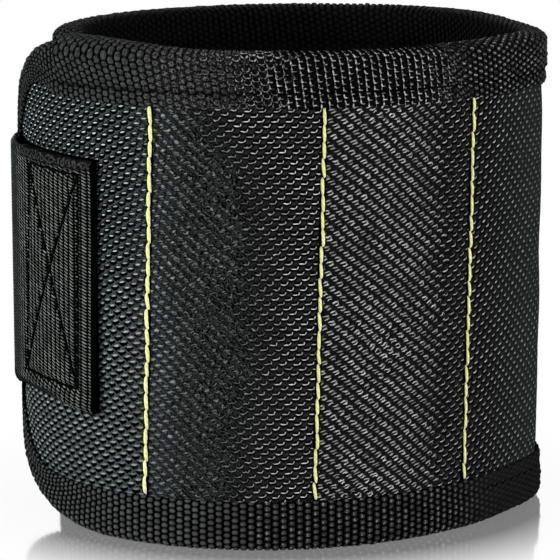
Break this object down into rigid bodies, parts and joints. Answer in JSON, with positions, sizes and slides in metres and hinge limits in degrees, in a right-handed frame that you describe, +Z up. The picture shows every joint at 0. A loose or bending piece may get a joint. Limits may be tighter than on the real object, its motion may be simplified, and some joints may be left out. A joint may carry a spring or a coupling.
{
  "type": "magnetic wristband",
  "caption": "Padded cuff of woven black cloth with flat magnets sewn into stitched columns, bound edges and a hook-and-loop strap; holds screws, nails and bits at the wrist.",
  "frame": {"origin": "middle of the footprint's bounding box, on the surface that the lower rim rests on", "axes": "+Z up along the cuff's axis, -Y out of the stitched front, +X to the right as seen from the front"},
  "size_m": [0.1016, 0.095, 0.09],
  "materials": {
    "shell_cloth": "coarse ballistic weave",
    "lining_mesh": "ribbed padded mesh",
    "binding_tape": "ribbed webbing tape",
    "foam": "soft foam sheet",
    "magnet": "bright plated",
    "yellow_thread": "twisted thread",
    "black_thread": "twisted thread",
    "webbing": "fine ribbed webbing",
    "hook_tape": "nylon hooks",
    "loop_tape": "brushed loops"
  },
  "bodies": {
    "front_panel": {"shell_front": "shell_cloth", "lining_front": "lining_mesh", "binding_front_top": "binding_tape", "binding_front_bottom": "binding_tape", "magnet_carrier_1": "foam", "magnet_1_1": "magnet", "magnet_1_2": "magnet", "magnet_1_3": "magnet", "magnet_carrier_2": "foam", "magnet_2_1": "magnet", "magnet_2_2": "magnet", "magnet_2_3": "magnet", "divider_stitch_1": "yellow_thread", "divider_stitch_2": "yellow_thread", "divider_stitch_3": "yellow_thread"},
    "strap_end": {"shell_strap_end": "shell_cloth", "lining_strap_end": "lining_mesh", "binding_strap_end": "binding_tape", "foam_strap_end": "foam", "strap_anchor": "webbing", "strap_box_stitch": "black_thread"},
    "strap_flap": {"strap_flap": "webbing", "hook_patch": "hook_tape"},
    "side_panel": {"shell_side": "shell_cloth", "lining_side": "lining_mesh", "binding_side_top": "binding_tape", "binding_side_bottom": "binding_tape", "magnet_carrier_3": "foam", "magnet_3_1": "magnet", "magnet_3_2": "magnet", "magnet_3_3": "magnet", "magnet_carrier_4": "foam", "magnet_4_1": "magnet", "magnet_4_2": "magnet", "magnet_4_3": "magnet", "divider_stitch_4": "yellow_thread", "divider_stitch_5": "yellow_thread"},
    "loop_end": {"shell_loop_end": "shell_cloth", "lining_loop_end": "lining_mesh", "binding_loop_end": "binding_tape", "magnet_carrier_5": "foam", "magnet_5_1": "magnet", "magnet_5_2": "magnet", "magnet_5_3": "magnet", "divider_stitch_6": "yellow_thread", "foam_loop_end": "foam", "loop_patch": "loop_tape"}
  },
  "joints": [
    {"name": "cuff_open", "type": "hinge", "parent": "front_panel", "child": "strap_end", "pos_m": [-0.0235, -0.04298, 0], "axis": [0, 0, 1], "range_deg": [0, 72]},
    {"name": "strap_peel", "type": "hinge", "parent": "strap_end", "child": "strap_flap", "pos_m": [-0.05081, -0.00158, 0], "axis": [0, 0, 1], "range_deg": [0, 120]},
    {"name": "side_flex", "type": "hinge", "parent": "front_panel", "child": "side_panel", "pos_m": [0.03574, -0.03158, 0], "axis": [0, 0, -1], "range_deg": [0, 72]},
    {"name": "back_flex", "type": "hinge", "parent": "side_panel", "child": "loop_end", "pos_m": [0.04303, 0.02689, 0], "axis": [0, 0, -1], "range_deg": [0, 72]}
  ],
  "couplings": [
    {"joint": "side_flex", "follows": "cuff_open", "ratio": 1},
    {"joint": "back_flex", "follows": "cuff_open", "ratio": 1}
  ]
}
